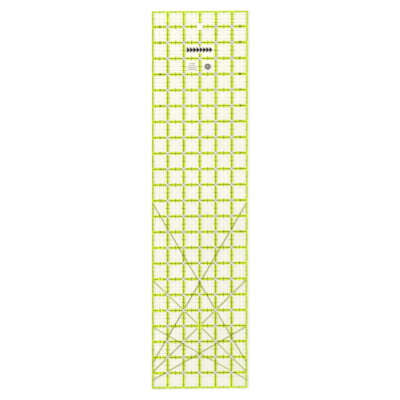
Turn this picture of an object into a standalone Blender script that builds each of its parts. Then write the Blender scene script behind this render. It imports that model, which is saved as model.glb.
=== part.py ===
"""Clear acrylic quilting ruler, 6 by 24 inches, with its printed layers and its non-slip film.

The ruler lies flat: its length is along Y with the hanging hole towards +Y, its width along X and
its thickness along Z. The origin is at the middle of the underside. From the bottom up it is a
non-slip film, neon ink, black ink and the acrylic blank. The ink is on the blank's underside, where
the film seals it in. Each layer keeps a small gap to the next.
"""

import math

import bpy

INCH = 0.0254

# The sheet, in inches across (u, from the left edge) and along (v, from the end without the hole)
COLUMNS = 6
ROWS = 24
WIDTH = COLUMNS * INCH
LENGTH = ROWS * INCH
EDGE_EASE = 0.00015

# The layers, from the bottom up
THICKNESS = 0.003
FILM_THICKNESS = 0.0002
INK_THICKNESS = 0.00005
LAYER_GAP = 0.00005
NEON_BOTTOM = FILM_THICKNESS + LAYER_GAP
INCH_LINES_BOTTOM = NEON_BOTTOM + INK_THICKNESS + LAYER_GAP
ANGLE_LINES_BOTTOM = INCH_LINES_BOTTOM + INK_THICKNESS + LAYER_GAP
BLANK_BOTTOM = ANGLE_LINES_BOTTOM + INK_THICKNESS + LAYER_GAP

# The hanging hole, and the circle that the print leaves clear round it
HOLE_U = COLUMNS / 2
HOLE_V = 23
HOLE_DIAMETER = 0.25 * INCH
CLEAR_DIAMETER = 0.46 * INCH
HOLE_SIDES = 48

# The print
PRINT_INSET = 0.0003
BORDER_WIDTH = 0.12 * INCH
BAND_WIDTH = 0.18 * INCH
ANGLE_BAND_WIDTH = 0.055 * INCH
LINE_WIDTH = 0.0006
ANGLE_LINE_WIDTH = 0.0005
LINE_END_MARGIN = 0.06 * INCH
ANGLE_LINES = (  # degrees from the ruler's width, and the v at which the pair crosses u = 3
    (60, 6.75),
    (45, 4.0),
    (30, 2.25),
)
CUT_DEPTH = 0.01


def place(u, v):
    """A point of the sheet in metres about its centre, from inches across and along."""
    return (u - COLUMNS / 2) * INCH, (v - ROWS / 2) * INCH


def clear_scene():
    for obj in list(bpy.data.objects):
        bpy.data.objects.remove(obj)


def new_collection(name):
    collection = bpy.data.collections.new(name)
    bpy.context.scene.collection.children.link(collection)
    return collection


def new_material(name, colour, roughness, alpha=1.0):
    material = bpy.data.materials.new(name)
    material.use_nodes = True
    shader = material.node_tree.nodes["Principled BSDF"]
    shader.inputs["Base Color"].default_value = (*colour, 1.0)
    shader.inputs["Roughness"].default_value = roughness
    shader.inputs["Metallic"].default_value = 0.0
    shader.inputs["Alpha"].default_value = alpha
    return material


def take_active(name, collection):
    """Names the object that a primitive has just made, and moves it to its collection."""
    obj = bpy.context.object
    obj.name = name
    for old in list(obj.users_collection):
        old.objects.unlink(obj)
    collection.objects.link(obj)
    return obj


def take_from(obj, old, new):
    """Moves an object from one collection to another."""
    old.objects.unlink(obj)
    new.objects.link(obj)
    return obj


def box(name, size, centre, collection, turn=0.0):
    """A box of the given size, turned about Z by an angle in radians."""
    bpy.ops.mesh.primitive_cube_add(size=1, location=centre, rotation=(0, 0, turn))
    bpy.context.object.scale = size
    bpy.ops.object.transform_apply(location=False, rotation=False, scale=True)
    return take_active(name, collection)


def as_cutter(obj):
    obj.hide_render = True
    obj.display_type = "WIRE"
    return obj


def round_cutter(name, diameter, collection):
    """An upright cylinder on the hanging hole's axis, longer than the ruler is thick."""
    bpy.ops.mesh.primitive_cylinder_add(
        vertices=HOLE_SIDES,
        radius=diameter / 2,
        depth=CUT_DEPTH,
        location=(*place(HOLE_U, HOLE_V), THICKNESS / 2),
    )
    return as_cutter(take_active(name, collection))


def combine(obj, other, operation):
    modifier = obj.modifiers.new(f"{operation.lower()}_{other.name}", "BOOLEAN")
    modifier.operation = operation
    modifier.solver = "EXACT"
    modifier.object = other


def ink_middle(bottom):
    return bottom + INK_THICKNESS / 2


def line_row(name, along_y, width, length, bottom, collection):
    """Parallel lines one inch apart, on every inch inside the sheet, along Y or along X."""
    count = (COLUMNS if along_y else ROWS) - 1
    first = -(count - 1) / 2 * INCH
    size = (width, length, INK_THICKNESS) if along_y else (length, width, INK_THICKNESS)
    centre = (first, 0, ink_middle(bottom)) if along_y else (0, first, ink_middle(bottom))
    lines = box(name, size, centre, collection)
    repeat = lines.modifiers.new("every_inch", "ARRAY")
    repeat.count = count
    repeat.use_relative_offset = False
    repeat.use_constant_offset = True
    repeat.constant_offset_displace = (INCH, 0, 0) if along_y else (0, INCH, 0)
    return lines


def make_sheet(name, bottom, top, hole, material, collection):
    """A sheet of the full outline, with the hanging hole through it."""
    sheet = box(name, (WIDTH, LENGTH, top - bottom), (0, 0, (bottom + top) / 2), collection)
    sheet.data.materials.append(material)
    combine(sheet, hole, "DIFFERENCE")
    return sheet


def ease_edges(sheet):
    """Takes the sharpness off the sheet's edges, and off the hole's rims."""
    ease = sheet.modifiers.new("eased_edges", "BEVEL")
    ease.width = EDGE_EASE
    ease.segments = 1
    ease.limit_method = "ANGLE"
    ease.angle_limit = math.radians(60)


def shade_round(sheet):
    """Smooth round the hole, sharp at every edge."""
    sheet.data.shade_smooth()
    sheet.data.set_sharp_from_angle(angle=math.radians(30))


def angle_strips(name, width, bottom, collection):
    """Three pairs of strips at 30, 45 and 60 degrees, each pair mirrored about the middle.

    Each strip ends inside the border band.
    """
    strips = []
    reach = WIDTH - 2 * LINE_END_MARGIN
    for degrees, crossing in ANGLE_LINES:
        for side in (1, -1):
            turn = math.radians(degrees) * side
            size = (reach / math.cos(turn), width, INK_THICKNESS)
            centre = (*place(HOLE_U, crossing), ink_middle(bottom))
            label = f"{name}_{degrees}_{'left' if side > 0 else 'right'}"
            strips.append(box(label, size, centre, collection, turn))
    return strips


def make_neon_print(clearance, material, parts, cutters):
    """The border band along all four edges, and a band under every inch line and angle line."""
    outer = (WIDTH - 2 * PRINT_INSET, LENGTH - 2 * PRINT_INSET)
    inner = (WIDTH - 2 * BORDER_WIDTH, LENGTH - 2 * BORDER_WIDTH)
    middle = (0, 0, ink_middle(NEON_BOTTOM))
    neon = box("neon_line_print", (*outer, INK_THICKNESS), middle, parts)
    neon.data.materials.append(material)
    window = as_cutter(box("border_window", (*inner, CUT_DEPTH), middle, cutters))
    combine(neon, window, "DIFFERENCE")
    for name, along_y, length in (
        ("neon_bands_along", True, LENGTH - BORDER_WIDTH),
        ("neon_bands_across", False, WIDTH - BORDER_WIDTH),
    ):
        bands = line_row(name, along_y, BAND_WIDTH, length, NEON_BOTTOM, cutters)
        combine(neon, as_cutter(bands), "UNION")
    for strip in angle_strips("neon_angle_band", ANGLE_BAND_WIDTH, NEON_BOTTOM, cutters):
        combine(neon, as_cutter(strip), "UNION")
    combine(neon, clearance, "DIFFERENCE")
    return neon


def make_inch_lines(clearance, material, parts, cutters):
    """The black line on every inch both ways, up to the border but not along it."""
    along = LENGTH - 2 * LINE_END_MARGIN
    across = WIDTH - 2 * LINE_END_MARGIN
    lines = line_row("inch_line_print", True, LINE_WIDTH, along, INCH_LINES_BOTTOM, parts)
    lines.data.materials.append(material)
    rows = line_row("inch_lines_across", False, LINE_WIDTH, across, INCH_LINES_BOTTOM, cutters)
    combine(lines, as_cutter(rows), "UNION")
    combine(lines, clearance, "DIFFERENCE")
    # The middle line's last stretch, beyond the hole, would be a loose strip.
    x, y = place(HOLE_U, (HOLE_V + ROWS) / 2)
    loose = box("loose_strip", (BAND_WIDTH, INCH, CUT_DEPTH), (x, y, 0), cutters)
    combine(lines, as_cutter(loose), "DIFFERENCE")
    return lines


def make_angle_lines(material, parts, cutters):
    """The black line in the middle of each narrow neon band."""
    strips = angle_strips("angle_line", ANGLE_LINE_WIDTH, ANGLE_LINES_BOTTOM, cutters)
    whole = take_from(strips[0], cutters, parts)
    whole.name = "angle_line_print"
    whole.data.materials.append(material)
    for other in strips[1:]:
        combine(whole, as_cutter(other), "UNION")
    return whole


def main():
    clear_scene()
    parts = new_collection("quilting_ruler")
    cutters = new_collection("quilting_ruler_cutters")
    hole = round_cutter("hole_cutter", HOLE_DIAMETER, cutters)
    clearance = round_cutter("print_clearance", CLEAR_DIAMETER, cutters)

    acrylic = new_material("clear_acrylic", (0.93, 0.95, 0.88), 0.05, alpha=0.25)
    blank = make_sheet("acrylic_blank", BLANK_BOTTOM, THICKNESS, hole, acrylic, parts)
    ease_edges(blank)
    shade_round(blank)
    frosted = new_material("non_slip_film", (0.94, 0.95, 0.84), 0.45, alpha=0.2)
    film = make_sheet("grip_film", 0, FILM_THICKNESS, hole, frosted, parts)
    shade_round(film)

    neon = new_material("neon_ink", (0.66, 0.84, 0.06), 0.4)
    make_neon_print(clearance, neon, parts, cutters)
    black = new_material("black_ink", (0.012, 0.012, 0.01), 0.4)
    make_inch_lines(clearance, black, parts, cutters)
    angle_black = new_material("black_ink_angles", (0.012, 0.012, 0.01), 0.4)
    make_angle_lines(angle_black, parts, cutters)
    cutters.hide_render = True


main()
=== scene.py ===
"""Looks of a clear acrylic quilting ruler, 6 by 24 inches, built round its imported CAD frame.

The ruler is a sheet of acrylic with a hanging hole. On its underside are black ink, then neon
yellow-green ink behind it, then a clear non-slip film. Printed shapes are laid out in inches across
(u, from the left edge) and along (v, from the end without the hole), and place() turns those into
metres. Each printed piece is real geometry in the layer that its CAD node holds.
"""

import math

import bmesh
import bpy
from mathutils import Euler, Matrix, Vector


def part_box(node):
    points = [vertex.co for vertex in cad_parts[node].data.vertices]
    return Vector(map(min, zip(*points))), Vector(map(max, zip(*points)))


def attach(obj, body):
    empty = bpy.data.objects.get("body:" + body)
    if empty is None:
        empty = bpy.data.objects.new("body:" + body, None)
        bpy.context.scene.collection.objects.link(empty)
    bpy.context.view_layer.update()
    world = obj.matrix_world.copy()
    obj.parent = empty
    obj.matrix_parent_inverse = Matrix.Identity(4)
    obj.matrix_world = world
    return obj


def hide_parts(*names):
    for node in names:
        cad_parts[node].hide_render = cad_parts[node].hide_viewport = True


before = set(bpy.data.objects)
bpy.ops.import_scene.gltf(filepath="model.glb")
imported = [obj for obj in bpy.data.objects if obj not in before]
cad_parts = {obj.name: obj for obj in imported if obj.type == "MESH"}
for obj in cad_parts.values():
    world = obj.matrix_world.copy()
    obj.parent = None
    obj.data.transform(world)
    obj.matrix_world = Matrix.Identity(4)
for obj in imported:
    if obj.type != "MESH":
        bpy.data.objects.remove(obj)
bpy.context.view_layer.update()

INCH = 0.0254
MM_IN = 1 / 25.4  # a millimetre in inches, for printed widths

# The sheet, from the frame
SHEET_LOW, SHEET_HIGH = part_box("acrylic_blank")
WIDTH = SHEET_HIGH.x - SHEET_LOW.x
LENGTH = SHEET_HIGH.y - SHEET_LOW.y
COLUMNS = round(WIDTH / INCH)
ROWS = round(LENGTH / INCH)
EDGE_EASE = 0.00015

# The hanging hole, and how far from its centre the print stays clear
HOLE = (3, 23)
HOLE_DIAMETER = 0.25
HOLE_CLEAR = 0.23

# Neon ink
PRINT_INSET = 0.15 * MM_IN
BORDER = 0.12
BAND_HALF = 0.09
ANGLE_BAND_HALF = 0.0275
BAND_STOP = 0.13  # the bands stop this far from the middle of an inch crossing

# Black ink
LINE_HALF = 0.33 * MM_IN
LINE_STOP = 0.052
LINE_START = 0.06  # from the sheet's edge
# Ticks, by the largest power of 2 in their count of eighths: 4 is a half inch, 1 an eighth
TICK_HALF = {1: 0.4 * MM_IN, 2: 0.44 * MM_IN, 4: 0.5 * MM_IN}
TICK_REACH = {1: 0.05, 2: 0.075, 4: 0.115}
EDGE_TICK_REACH = {1: 0.1, 2: 0.12, 4: 0.145}
WHOLE_CROSSING = (3, 4)  # the 45 degree lines meet here, and the inch lines run on through it
DASH_HALF_WIDTH = 0.14 * MM_IN
DASH_HALF_LENGTH = 0.5 * MM_IN
ANGLE_HALF = 0.32 * MM_IN
ANGLE_STOP = 0.15
WHOLE_CROSSING_STOP = 0.21
ANGLE_LINES = (  # degrees from the ruler's width, and the v at which the pair crosses u = 3
    (60, 6.75),
    (45, 4.0),
    (30, 2.25),
)

# Numbers
SIDE_NUMBERS_AT = (0.53, COLUMNS - 0.49)
END_NUMBERS_AT = (0.55, ROWS - 0.55)
NUMBER_HEIGHT = 0.13
NUMBER_WEIGHT = 0.00026  # thickens the strokes, in metres
NUMBER_GAP = 0.11  # half the stretch of line left out for a number
DIGIT_HEIGHT = 0.7  # of the font's own size

# Plain marks
EMBLEM_U = (2.2, 3.8)
EMBLEM_V = (21.36, 21.72)
EMBLEM_MARGIN = 0.03
EMBLEM_TRIANGLES = 8
EMBLEM_GAP = 1 / 12  # between two triangles, as a share of one triangle's step
WHEEL_CENTRE = (3.49, 20.48)
WHEEL_WEDGES = 12
WHEEL_RADII = (0.05, 0.19)
WEDGE_HALF_ANGLE = math.pi / 15
BAR_HALF = 0.012
BARS = (  # v, low u, high u
    (20.68, 2.36, 2.7),
    (20.56, 2.28, 2.7),
    (20.44, 2.22, 2.8),
    (20.32, 2.26, 2.8),
)
DASHLESS = (  # where the quarter-inch dashes are left out: low u, low v, high u, high v
    (2.1, 20.66, 3.9, 21.82),
    (2.15, 20.25, 2.85, 20.72),
    (3.25, 20.25, 3.73, 20.72),
)

# The camera looks almost straight down, leaning over the end with the hole, from far away
VIEW_LEAN_ALONG = math.radians(10.74)
VIEW_LEAN_ACROSS = math.radians(2.79)
VIEW_ROLL = math.radians(0.48)
VIEW_DISTANCE = 11.671
VIEW_OFFSET = (0.00055, 0.00065)
VIEW_LENS = 662

# The studio
FLOOR_SIZE = 60
FLOOR_Z = -0.0004  # a little below the film, so that the two never share a plane
FLOOR_COLOUR = (0.86, 0.86, 0.86, 1)
WORLD_STRENGTH = 0.45
SOFTBOX_SIZE = (2.2, 1.4)
SOFTBOXES = (  # name, location, watts
    ("softbox_left", (-2.6, 1.3, 2.1), 130),
    ("softbox_right", (2.8, -0.4, 2.6), 65),
)

# Looks
HEAD_ON_GLOSS = 0.02  # the share of light that acrylic mirrors when seen face on
BONDED_GLOSS = 0.06  # ink that is bonded to acrylic has hardly any gloss of its own
CLEAR_TINTS = ((0.991, 0.990, 0.972), (0.986, 0.985, 0.962))
# Painted glow: yellow-green on the clear cut edge, standing in for light carried through the sheet
# to its edge
PAINTED_EDGE_GLOW = ((0.58, 0.75, 0.10), (0.70, 0.84, 0.24))
INKS = {  # two colours, the range of roughness, and the grain of the mottle
    "neon_ink": ((0.72, 0.93, 0.02), (0.80, 0.98, 0.035), (0.35, 0.5), 90.0),
    "black_ink": ((0.003, 0.003, 0.003), (0.009, 0.009, 0.008), (0.3, 0.5), 400.0),
    "angle_ink": ((0.004, 0.004, 0.003), (0.012, 0.012, 0.01), (0.3, 0.5), 400.0),
    "grey_ink": ((0.11, 0.11, 0.10), (0.17, 0.17, 0.16), (0.35, 0.5), 400.0),
}


# ---------------------------------------------------------------- materials


def new_material(name):
    """A material with an empty node tree, and its output node."""
    material = bpy.data.materials.new(name)
    material.use_nodes = True
    material.node_tree.nodes.clear()
    output = material.node_tree.nodes.new("ShaderNodeOutputMaterial")
    return material, material.node_tree, output


def add_node(tree, kind, values=None, **settings):
    """Adds a node, sets its properties and, from values, its inputs by name."""
    node = tree.nodes.new(kind)
    for key, value in settings.items():
        setattr(node, key, value)
    for key, value in (values or {}).items():
        node.inputs[key].default_value = value
    return node


def object_noise(tree, scale, detail=3.0, stretch=(1, 1, 1)):
    """Noise in the object's own space, in features per metre."""
    place_node = add_node(tree, "ShaderNodeTexCoord")
    mapping = add_node(tree, "ShaderNodeMapping", {"Scale": stretch})
    noise = add_node(tree, "ShaderNodeTexNoise", {"Scale": scale, "Detail": detail})
    tree.links.new(place_node.outputs["Object"], mapping.inputs["Vector"])
    tree.links.new(mapping.outputs["Vector"], noise.inputs["Vector"])
    return noise


def ramp(tree, source, low, high, from_low=0.35, from_high=0.65):
    """Maps a noise value to a number between low and high."""
    settings = {"From Min": from_low, "From Max": from_high, "To Min": low, "To Max": high}
    node = add_node(tree, "ShaderNodeMapRange", settings)
    tree.links.new(source, node.inputs["Value"])
    return node.outputs["Result"]


def two_colours(tree, source, first, second):
    """Mixes two colours by a noise value."""
    node = add_node(tree, "ShaderNodeMix", data_type="RGBA")
    colours = [socket for socket in node.inputs if socket.type == "RGBA"]
    colours[0].default_value = (*first, 1)
    colours[1].default_value = (*second, 1)
    tree.links.new(ramp(tree, source, 0.0, 1.0), node.inputs["Factor"])
    return next(socket for socket in node.outputs if socket.type == "RGBA")


def bump(tree, height, strength, distance):
    """A surface normal from a height, with the depth of its relief in metres."""
    node = add_node(tree, "ShaderNodeBump", {"Strength": strength, "Distance": distance})
    tree.links.new(height, node.inputs["Height"])
    return node.outputs["Normal"]


def tinted_view(tree):
    """Light that goes straight through, with a tint that varies a little over the sheet."""
    clouds = object_noise(tree, 9.0)
    see = add_node(tree, "ShaderNodeBsdfTransparent")
    tree.links.new(two_colours(tree, clouds.outputs["Fac"], *CLEAR_TINTS), see.inputs["Color"])
    return see


def clear_face(name, roughness, normal_of):
    """An outer face: see-through, with a share of gloss that grows towards grazing angles.

    normal_of builds the nodes of the face's fine relief.
    """
    material, tree, output = new_material(name)
    see = tinted_view(tree)
    gloss = add_node(tree, "ShaderNodeBsdfGlossy", {"Color": (1, 1, 1, 1)})
    fine = object_noise(tree, 700.0, 4.0, (1, 0.15, 1))
    tree.links.new(ramp(tree, fine.outputs["Fac"], *roughness), gloss.inputs["Roughness"])
    facing = add_node(tree, "ShaderNodeLayerWeight", {"Blend": 0.5})
    grazing = add_node(tree, "ShaderNodeMath", operation="POWER")
    grazing.inputs[1].default_value = 5
    tree.links.new(facing.outputs["Facing"], grazing.inputs[0])
    normal = normal_of(tree)
    tree.links.new(normal, gloss.inputs["Normal"])
    tree.links.new(normal, facing.inputs["Normal"])
    share = ramp(tree, grazing.outputs["Value"], HEAD_ON_GLOSS, 1.0, 0.0, 1.0)
    mix = add_node(tree, "ShaderNodeMixShader")
    tree.links.new(share, mix.inputs["Fac"])
    tree.links.new(see.outputs["BSDF"], mix.inputs[1])
    tree.links.new(gloss.outputs["BSDF"], mix.inputs[2])
    tree.links.new(mix.outputs["Shader"], output.inputs["Surface"])
    return material


def clear_inside(name):
    """A bonded face inside the ruler, which tints what is seen through it and mirrors nothing."""
    material, tree, output = new_material(name)
    tree.links.new(tinted_view(tree).outputs["BSDF"], output.inputs["Surface"])
    return material


def scratches(tree):
    """Hairline scuffs that run mostly along the ruler, as a blade and a cloth leave them."""
    noise = object_noise(tree, 260.0, 6.0, (6, 0.35, 1))
    return bump(tree, noise.outputs["Fac"], 0.08, 0.00002)


def pebbles(tree):
    """The fine raised grain of the non-slip film."""
    place_node = add_node(tree, "ShaderNodeTexCoord")
    cells = add_node(tree, "ShaderNodeTexVoronoi", {"Scale": 1400.0})
    tree.links.new(place_node.outputs["Object"], cells.inputs["Vector"])
    return bump(tree, cells.outputs["Distance"], 0.7, 0.00006)


def cut_edge(name):
    """The laser-cut wall: half clear, with fine upright streaks and a painted yellow-green glow."""
    material, tree, output = new_material(name)
    streaks = object_noise(tree, 1500.0, 3.0, (1, 1, 0.05))
    glow = object_noise(tree, 18.0)
    shader = add_node(tree, "ShaderNodeBsdfPrincipled", {"IOR": 1.49, "Alpha": 0.5})
    # Painted glow: the edge's yellow-green stands in for light carried through the clear sheet, not
    # a colour of the acrylic
    colour = two_colours(tree, glow.outputs["Fac"], *PAINTED_EDGE_GLOW)
    tree.links.new(colour, shader.inputs["Base Color"])
    tree.links.new(ramp(tree, streaks.outputs["Fac"], 0.12, 0.4), shader.inputs["Roughness"])
    tree.links.new(bump(tree, streaks.outputs["Fac"], 0.35, 0.00005), shader.inputs["Normal"])
    tree.links.new(shader.outputs["BSDF"], output.inputs["Surface"])
    return material


def ink(name, colour, second_colour, roughness, grain):
    """Screen-printed ink: slightly uneven in colour and sheen, with a very fine grain."""
    material, tree, output = new_material(name)
    mottle = object_noise(tree, grain, 5.0)
    fine_grain = object_noise(tree, 4000.0, 1.0)
    values = {"IOR": 1.45, "Specular IOR Level": BONDED_GLOSS}
    shader = add_node(tree, "ShaderNodeBsdfPrincipled", values)
    tree.links.new(
        two_colours(tree, mottle.outputs["Fac"], colour, second_colour),
        shader.inputs["Base Color"],
    )
    tree.links.new(ramp(tree, mottle.outputs["Fac"], *roughness), shader.inputs["Roughness"])
    tree.links.new(bump(tree, fine_grain.outputs["Fac"], 0.2, 0.00001), shader.inputs["Normal"])
    tree.links.new(shader.outputs["BSDF"], output.inputs["Surface"])
    return material


# ---------------------------------------------------------------- flat shapes


def place(u, v):
    """A point of the sheet in metres, from inches across and along."""
    return SHEET_LOW.x + u * INCH, SHEET_LOW.y + v * INCH


def layer(node):
    """The lowest and highest z of a CAD node."""
    low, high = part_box(node)
    return low.z, high.z


def biggest_step(at):
    """4 on a half inch, 2 on a quarter, 1 on an eighth and 0 on a whole inch."""
    eighths = round(at * 8) % 8
    return eighths & -eighths


def tick_half(at):
    """Half the width of the tick at a distance in inches, or 0 where there is none."""
    return TICK_HALF.get(biggest_step(at), 0.0)


class Stencil:
    """Flat shapes in inches, gathered in one mesh and then given the ink's thickness."""

    def __init__(self):
        self.mesh = bmesh.new()
        self.points = {}

    def point(self, u, v):
        key = (round(u, 5), round(v, 5))
        if key not in self.points:
            self.points[key] = self.mesh.verts.new((*place(u, v), 0))
        return self.points[key]

    def shape(self, corners):
        """One flat face, its corners given anticlockwise."""
        self.mesh.faces.new([self.point(u, v) for u, v in corners])

    def block(self, low_u, low_v, high_u, high_v):
        self.shape(((low_u, low_v), (high_u, low_v), (high_u, high_v), (low_u, high_v)))

    def tiles(self, us, vs, keep):
        """Splits a rectangle at each u and v, and keeps the tiles whose middles keep() accepts."""
        us = sorted(set(us))
        vs = sorted(set(vs))
        for low_u, high_u in zip(us, us[1:]):
            for low_v, high_v in zip(vs, vs[1:]):
                if keep((low_u + high_u) / 2, (low_v + high_v) / 2):
                    self.block(low_u, low_v, high_u, high_v)

    def solid(self, name, low_z, high_z, material):
        """Makes the piece: the shapes raised to low_z and thickened up to high_z."""
        for vertex in self.mesh.verts:
            vertex.co.z = low_z
        data = bpy.data.meshes.new(name)
        self.mesh.to_mesh(data)
        self.mesh.free()
        data.materials.append(material)
        piece = bpy.data.objects.new(name, data)
        bpy.context.scene.collection.objects.link(piece)
        thickness = piece.modifiers.new("ink_thickness", "SOLIDIFY")
        thickness.thickness = high_z - low_z
        thickness.offset = 1
        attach(piece, "root")
        return piece


# ---------------------------------------------------------------- acrylic and film


def outline_mesh(name, low_z, high_z, ease):
    """A sheet of the full outline with the hanging hole, its rims eased by the given width."""
    curve = bpy.data.curves.new(name, "CURVE")
    curve.dimensions = "2D"
    curve.fill_mode = "BOTH"
    curve.extrude = (high_z - low_z) / 2 - ease
    curve.bevel_depth = ease
    curve.bevel_resolution = 2
    curve.offset = -ease
    corners = ((0, 0), (COLUMNS, 0), (COLUMNS, ROWS), (0, ROWS))
    spline = curve.splines.new("POLY")
    spline.points.add(len(corners) - 1)
    for point, corner in zip(spline.points, corners):
        point.co = (*place(*corner), 0, 1)
    spline.use_cyclic_u = True
    add_circle(curve, place(*HOLE), HOLE_DIAMETER / 2 * INCH)
    flat = bpy.data.objects.new(name, curve)
    flat.location.z = (low_z + high_z) / 2
    bpy.context.scene.collection.objects.link(flat)
    return welded_copy(flat, name)


def add_circle(curve, centre, radius):
    """A round opening of four Bezier arcs."""
    arc = radius * 4 / 3 * math.tan(math.pi / 8)
    spline = curve.splines.new("BEZIER")
    spline.bezier_points.add(3)
    for quarter, point in enumerate(spline.bezier_points):
        angle = quarter * math.pi / 2
        out = Vector((math.cos(angle), math.sin(angle), 0))
        along = Vector((-out.y, out.x, 0))
        point.co = Vector((*centre, 0)) + out * radius
        point.handle_left = point.co - along * arc
        point.handle_right = point.co + along * arc
    spline.use_cyclic_u = True
    spline.resolution_u = 16


def welded_copy(flat, name):
    """A mesh object of a curve, with its caps joined to its walls."""
    bpy.context.view_layer.update()
    graph = bpy.context.evaluated_depsgraph_get()
    data = bpy.data.meshes.new_from_object(flat.evaluated_get(graph))
    data.name = name
    data.transform(flat.matrix_world)
    bpy.data.objects.remove(flat)
    form = bmesh.new()
    form.from_mesh(data)
    bmesh.ops.remove_doubles(form, verts=form.verts, dist=1e-6)
    bmesh.ops.recalc_face_normals(form, faces=form.faces)
    form.to_mesh(data)
    form.free()
    piece = bpy.data.objects.new(name, data)
    bpy.context.scene.collection.objects.link(piece)
    return piece


def paint_faces(piece, up, down, side):
    """Gives the faces that look up, down and sideways their own materials."""
    data = piece.data
    data.materials.clear()
    for material in (up, down, side):
        data.materials.append(material)
    for face in data.polygons:
        if abs(face.normal.z) < 0.5:
            face.material_index = 2
        else:
            face.material_index = 0 if face.normal.z > 0 else 1


def make_sheet(materials):
    low_z, high_z = layer("acrylic_blank")
    sheet = outline_mesh("acrylic_sheet", low_z, high_z, EDGE_EASE)
    paint_faces(sheet, materials["acrylic_top"], materials["acrylic_back"], materials["cut_edge"])
    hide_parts("acrylic_blank")
    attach(sheet, "root")


def make_film(materials):
    """The film's underside and rim. Its other side is bonded to the ink, so it has no face."""
    low_z, high_z = layer("grip_film")
    film = outline_mesh("non_slip_film", low_z, high_z, 0)
    paint_faces(film, materials["film_under"], materials["film_under"], materials["film_under"])
    form = bmesh.new()
    form.from_mesh(film.data)
    bonded = [face for face in form.faces if face.normal.z > 0.5]
    bmesh.ops.delete(form, geom=bonded, context="FACES_ONLY")
    form.to_mesh(film.data)
    form.free()
    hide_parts("grip_film")
    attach(film, "root")


# ---------------------------------------------------------------- neon print


def crossing_near(u, v):
    return round(u), round(v)


def is_crossing(crossing):
    return 0 < crossing[0] < COLUMNS and 0 < crossing[1] < ROWS


def clear_half(crossing, usual):
    """How far from a crossing's middle the print stops."""
    if crossing == HOLE:
        return HOLE_CLEAR
    if crossing == WHOLE_CROSSING:
        return 0.0
    return usual


def behind_emblem(u, v):
    """True where the print is left out behind the emblem."""
    inside_u = EMBLEM_U[0] < u < EMBLEM_U[1]
    return inside_u and EMBLEM_V[0] - EMBLEM_MARGIN < v < EMBLEM_V[1] + EMBLEM_MARGIN


def neon_here(u, v):
    """True where the neon border or a neon band is."""
    if min(u, v, COLUMNS - u, ROWS - v) < BORDER:
        return True
    crossing = crossing_near(u, v)
    off_u = abs(u - crossing[0])
    off_v = abs(v - crossing[1])
    if is_crossing(crossing) and max(off_u, off_v) < clear_half(crossing, BAND_STOP):
        return False
    if behind_emblem(u, v):
        return False
    on_column = off_u < BAND_HALF and 0 < crossing[0] < COLUMNS
    on_row = off_v < BAND_HALF and 0 < crossing[1] < ROWS
    return on_column or on_row


def neon_breaks(count, hole_at):
    """Where the neon's tiles meet, across the sheet or along it."""
    breaks = [PRINT_INSET, BORDER, count - BORDER, count - PRINT_INSET]
    for line in range(1, count):
        for reach in (BAND_HALF, BAND_STOP):
            breaks += [line - reach, line + reach]
    breaks += [hole_at - HOLE_CLEAR, hole_at + HOLE_CLEAR]
    if count == ROWS:
        breaks += [EMBLEM_V[0] - EMBLEM_MARGIN, EMBLEM_V[1] + EMBLEM_MARGIN]
    return breaks


def make_neon(materials):
    low_z, high_z = layer("neon_line_print")
    print_area = Stencil()
    print_area.tiles(neon_breaks(COLUMNS, HOLE[0]), neon_breaks(ROWS, HOLE[1]), neon_here)
    neon = print_area.solid("neon_lines", low_z, high_z, materials["neon_ink"])
    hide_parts("neon_line_print")


# ---------------------------------------------------------------- black print


def column_gaps(column):
    """The stretches of an inch line along the ruler that aren't printed, as (middle, half)."""
    gaps = [(row, clear_half((column, row), LINE_STOP)) for row in range(1, ROWS)]
    gaps += [(at, NUMBER_GAP) for at in END_NUMBERS_AT]
    if EMBLEM_U[0] < column < EMBLEM_U[1]:
        low_v, high_v = EMBLEM_V
        gaps.append(((low_v + high_v) / 2, (high_v - low_v) / 2 + EMBLEM_MARGIN))
    return gaps


def row_gaps(row):
    """The same for an inch line across the ruler."""
    gaps = [(column, clear_half((column, row), LINE_STOP)) for column in range(1, COLUMNS)]
    return gaps + [(at, NUMBER_GAP) for at in SIDE_NUMBERS_AT]


def line_tiles(stencil, fixed, count, gaps, along):
    """One inch line with its ticks. along is True for a line along the ruler."""
    starts = [LINE_START, count - LINE_START]
    ticks = [step / 8 for step in range(1, count * 8) if step % 8]
    ways = starts + [tick + side * tick_half(tick) for tick in ticks for side in (-1, 1)]
    ways += [middle + side * half for middle, half in gaps for side in (-1, 1)]
    reaches = [LINE_HALF, *TICK_REACH.values()]
    across = [fixed + side * reach for reach in reaches for side in (-1, 1)]

    def keep(way, off):
        if any(abs(way - middle) < half for middle, half in gaps):
            return False
        nearest = round(way * 8) / 8
        on_tick = abs(way - nearest) < tick_half(nearest)
        reach = TICK_REACH[biggest_step(nearest)] if on_tick else LINE_HALF
        return abs(off - fixed) < reach

    if along:
        stencil.tiles(across, ways, lambda u, v: keep(v, u))
    else:
        stencil.tiles(ways, across, keep)


def make_inch_lines(materials):
    """The black line on every inch both ways, with a tick on every eighth."""
    low_z, high_z = layer("inch_line_print")
    lines = Stencil()
    for column in range(1, COLUMNS):
        line_tiles(lines, column, ROWS, column_gaps(column), True)
    for row in range(1, ROWS):
        line_tiles(lines, row, COLUMNS, row_gaps(row), False)
    piece = lines.solid("inch_lines", low_z, high_z, materials["black_ink"])
    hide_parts("inch_line_print")


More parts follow.
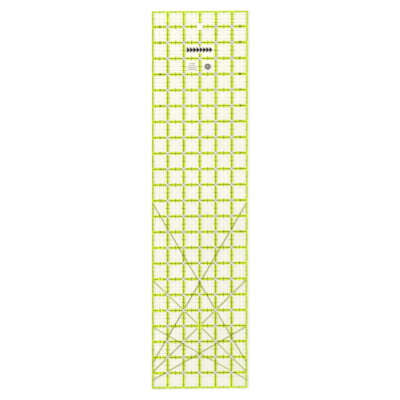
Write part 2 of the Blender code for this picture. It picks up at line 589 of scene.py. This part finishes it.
def make_edge_ticks(materials):
    """The ticks on the border, every eighth inch, from the sheet's four edges inwards."""
    low_z, high_z = layer("inch_line_print")
    ticks = Stencil()
    for count, other, along in ((ROWS, COLUMNS, True), (COLUMNS, ROWS, False)):
        for at in (step / 8 for step in range(1, count * 8) if step % 8):
            reach = EDGE_TICK_REACH[biggest_step(at)]
            half = tick_half(at)
            for start, end in ((PRINT_INSET, reach), (other - reach, other - PRINT_INSET)):
                if along:
                    ticks.block(start, at - half, end, at + half)
                else:
                    ticks.block(at - half, start, at + half, end)
    ticks.solid("edge_ticks", low_z, high_z, materials["black_ink"])


def near_marks(u, v):
    """True round the emblem and the plain marks, where the dashes are left out."""
    return any(
        low_u < u < high_u and low_v < v < high_v
        for low_u, low_v, high_u, high_v in DASHLESS
    )


def make_quarter_dashes(materials):
    """Fine dashes every eighth inch along the quarter-inch lines, and crosses where those meet."""
    low_z, high_z = layer("inch_line_print")
    dashes = Stencil()
    wide = DASH_HALF_WIDTH
    reach = DASH_HALF_LENGTH
    for step_u in range(1, COLUMNS * 8):
        for step_v in range(1, ROWS * 8):
            u = step_u / 8
            v = step_v / 8
            if step_u % 8 == 0 or step_v % 8 == 0 or near_marks(u, v):
                continue
            on_column = step_u % 2 == 0
            on_row = step_v % 2 == 0
            if on_column and on_row:
                dashes.shape(cross_outline(u, v, wide, reach))
            elif on_column:
                dashes.block(u - wide, v - reach, u + wide, v + reach)
            elif on_row:
                dashes.block(u - reach, v - wide, u + reach, v + wide)
    dashes.solid("quarter_inch_dashes", low_z, high_z, materials["black_ink"])


def cross_outline(u, v, wide, reach):
    """The twelve corners of an upright cross, anticlockwise."""
    arm = ((reach, -wide), (reach, wide), (wide, wide))
    corners = []
    for quarter in range(4):
        turn = Matrix.Rotation(quarter * math.pi / 2, 2)
        corners += [turn @ Vector(corner) for corner in arm]
    return [(u + corner.x, v + corner.y) for corner in corners]


# ---------------------------------------------------------------- angle lines


def strip(stencil, start, end, half):
    """A straight printed line between two points, square at its ends."""
    start = Vector(start)
    end = Vector(end)
    way = (end - start).normalized() * half
    side = Vector((-way.y, way.x))
    corners = (start - side, end - side, end + side, start + side)
    stencil.shape([(corner.x, corner.y) for corner in corners])


def stops_on(slope, crossing_v):
    """The u ranges of an angle line that its stops at nearby inch crossings leave out."""
    stops = []
    for column in range(1, COLUMNS):
        for row in range(1, ROWS):
            off = row - (crossing_v + (column - COLUMNS / 2) * slope)
            square = 1 + slope * slope
            distance = abs(off) / math.sqrt(square)
            reach = WHOLE_CROSSING_STOP if (column, row) == WHOLE_CROSSING else ANGLE_STOP
            if distance < reach:
                nearest = column + off * slope / square
                half = math.sqrt((reach**2 - distance**2) / square)
                stops.append((nearest - half, nearest + half))
    return sorted(stops)


def angle_line(stencil, slope, crossing_v, half):
    """One angle line from edge to edge of the print, but for its stops."""
    at = LINE_START
    for low, high in stops_on(slope, crossing_v) + [(COLUMNS - LINE_START, COLUMNS)]:
        if low > at:
            ends = [(u, crossing_v + (u - COLUMNS / 2) * slope) for u in (at, low)]
            strip(stencil, *ends, half)
        at = max(at, high)


def angle_fan(name, side, half, low_z, high_z, material, slot):
    """All the angle lines that rise (side 1) or fall (side -1) from left to right."""
    lines = Stencil()
    for degrees, crossing_v in ANGLE_LINES:
        angle_line(lines, side * math.tan(math.radians(degrees)), crossing_v, half)
    return lines.solid(name, low_z, high_z, material)


def two_levels(low_z, high_z):
    """The lower and the upper two fifths of a layer, for lines that cross each other."""
    step = (high_z - low_z) / 5
    return (low_z, low_z + 2 * step), (high_z - 2 * step, high_z)


def make_angle_lines(materials):
    """Black angle lines, each with a narrow neon band behind it.

    The rising lines are in the lower part of their layer and the falling ones in the upper part.
    The neon ones are between the neon grid and the black one.
    """
    under = layer("neon_line_print")[1]
    over = layer("inch_line_print")[0]
    margin = (over - under) / 10
    neon_levels = two_levels(under + margin, over - margin)
    black_levels = two_levels(*layer("angle_line_print"))
    for index, (side, word) in enumerate(((1, "rising"), (-1, "falling"))):
        angle_fan(
            f"angle_bands_{word}", side, ANGLE_BAND_HALF, *neon_levels[index],
            materials["neon_ink"], "neon_ink",
        )
        black = angle_fan(
            f"angle_lines_{word}", side, ANGLE_HALF, *black_levels[index],
            materials["angle_ink"], "black_ink",
        )
        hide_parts("angle_line_print")


# ---------------------------------------------------------------- numbers and plain marks


def number_mesh(text, u, v, low_z, high_z):
    """A number centred on a point, as a mesh in the layer."""
    curve = bpy.data.curves.new("number", "FONT")
    curve.body = text
    curve.size = NUMBER_HEIGHT * INCH / DIGIT_HEIGHT
    curve.align_x = "CENTER"
    curve.align_y = "CENTER"
    curve.resolution_u = 3
    curve.offset = NUMBER_WEIGHT
    curve.extrude = (high_z - low_z) / 2
    number = bpy.data.objects.new("number", curve)
    number.location = (*place(u, v), (low_z + high_z) / 2)
    bpy.context.scene.collection.objects.link(number)
    return welded_copy(number, "number")


def make_numbers(materials):
    """Inch numbers on the outer columns of every row, and on the end rows of every column."""
    low_z, high_z = layer("inch_line_print")
    wanted = [(str(row), u, row) for row in range(1, ROWS) for u in SIDE_NUMBERS_AT]
    wanted += [(str(column), column, v) for column in range(1, COLUMNS) for v in END_NUMBERS_AT]
    joined = bmesh.new()
    for text, u, v in wanted:
        number = number_mesh(text, u, v, low_z, high_z)
        joined.from_mesh(number.data)
        bpy.data.objects.remove(number)
    data = bpy.data.meshes.new("inch_numbers")
    joined.to_mesh(data)
    joined.free()
    data.materials.append(materials["black_ink"])
    piece = bpy.data.objects.new("inch_numbers", data)
    bpy.context.scene.collection.objects.link(piece)
    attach(piece, "root")


def make_emblem(materials):
    """A row of flying-geese triangles, a plain quilting pattern, in black."""
    low_z, high_z = layer("angle_line_print")
    geese = Stencil()
    step = (EMBLEM_U[1] - EMBLEM_U[0]) / EMBLEM_TRIANGLES
    low_v, high_v = EMBLEM_V
    gap = step * EMBLEM_GAP
    for index in range(EMBLEM_TRIANGLES):
        low_u = EMBLEM_U[0] + index * step
        corners = ((low_u, low_v), (low_u + step - gap, (low_v + high_v) / 2), (low_u, high_v))
        geese.shape(corners)
    geese.solid("geese_emblem", low_z, high_z, materials["black_ink"])


def wedge_outline(middle):
    """The four corners of a wheel's wedge, about an angle in radians, anticlockwise."""
    centre = Vector(WHEEL_CENTRE)
    inner, outer = WHEEL_RADII
    half = WEDGE_HALF_ANGLE
    corners = [
        centre + Vector((math.cos(middle + turn), math.sin(middle + turn))) * radius
        for radius, turn in ((inner, -half), (outer, -half), (outer, half), (inner, half))
    ]
    return [(corner.x, corner.y) for corner in corners]


def make_plain_marks(materials):
    """A grey wheel of wedges and four plain grey bars, in place of small print."""
    low_z, high_z = layer("angle_line_print")
    marks = Stencil()
    for wedge in range(WHEEL_WEDGES):
        marks.shape(wedge_outline(wedge * 2 * math.pi / WHEEL_WEDGES))
    for v, low_u, high_u in BARS:
        marks.block(low_u, v - BAR_HALF, high_u, v + BAR_HALF)
    marks.solid("plain_marks", low_z, high_z, materials["grey_ink"])


# ---------------------------------------------------------------- setting


def make_camera():
    """A long lens from far away, leaning over the end with the hole and a little to the left."""
    turn = Euler((-VIEW_LEAN_ALONG, -VIEW_LEAN_ACROSS, -VIEW_ROLL), "ZYX").to_matrix().to_4x4()
    data = bpy.data.cameras.new("camera")
    data.lens = VIEW_LENS
    data.sensor_width = 36
    data.clip_end = 100
    camera = bpy.data.objects.new("camera", data)
    camera.matrix_world = turn @ Matrix.Translation((*VIEW_OFFSET, VIEW_DISTANCE))
    bpy.context.scene.collection.objects.link(camera)
    bpy.context.scene.camera = camera


def make_floor():
    bpy.ops.mesh.primitive_plane_add(size=FLOOR_SIZE, location=(0, 0, FLOOR_Z))
    floor = bpy.context.object
    floor.name = "floor"
    material, tree, output = new_material("pale_floor")
    shader = add_node(tree, "ShaderNodeBsdfDiffuse", {"Color": FLOOR_COLOUR})
    tree.links.new(shader.outputs["BSDF"], output.inputs["Surface"])
    floor.data.materials.append(material)


def make_light():
    """An even white studio, with a large softbox to the left and a weaker one to the right."""
    world = bpy.data.worlds.new("studio")
    world.use_nodes = True
    back = world.node_tree.nodes["Background"]
    back.inputs["Color"].default_value = (1, 1, 1, 1)
    back.inputs["Strength"].default_value = WORLD_STRENGTH
    bpy.context.scene.world = world
    for name, location, watts in SOFTBOXES:
        make_softbox(name, location, watts)
    bpy.context.scene.view_settings.view_transform = "Standard"


def make_softbox(name, location, watts):
    """A rectangular lamp that points at the middle of the ruler."""
    data = bpy.data.lights.new(name, "AREA")
    data.shape = "RECTANGLE"
    data.size, data.size_y = SOFTBOX_SIZE
    data.energy = watts
    lamp = bpy.data.objects.new(name, data)
    lamp.location = location
    lamp.rotation_euler = (-lamp.location).to_track_quat("-Z", "Y").to_euler()
    bpy.context.scene.collection.objects.link(lamp)


def make_materials():
    return {
        "acrylic_top": clear_face("acrylic_top", (0.01, 0.07), scratches),
        "acrylic_back": clear_inside("acrylic_back"),
        "film_under": clear_face("film_under", (0.3, 0.5), pebbles),
        "cut_edge": cut_edge("cut_edge"),
        **{name: ink(name, *look) for name, look in INKS.items()},
    }


def main():
    make_camera()
    make_floor()
    make_light()
    materials = make_materials()
    make_sheet(materials)
    make_film(materials)
    make_neon(materials)
    make_inch_lines(materials)
    make_edge_ticks(materials)
    make_quarter_dashes(materials)
    make_angle_lines(materials)
    make_numbers(materials)
    make_emblem(materials)
    make_plain_marks(materials)


main()
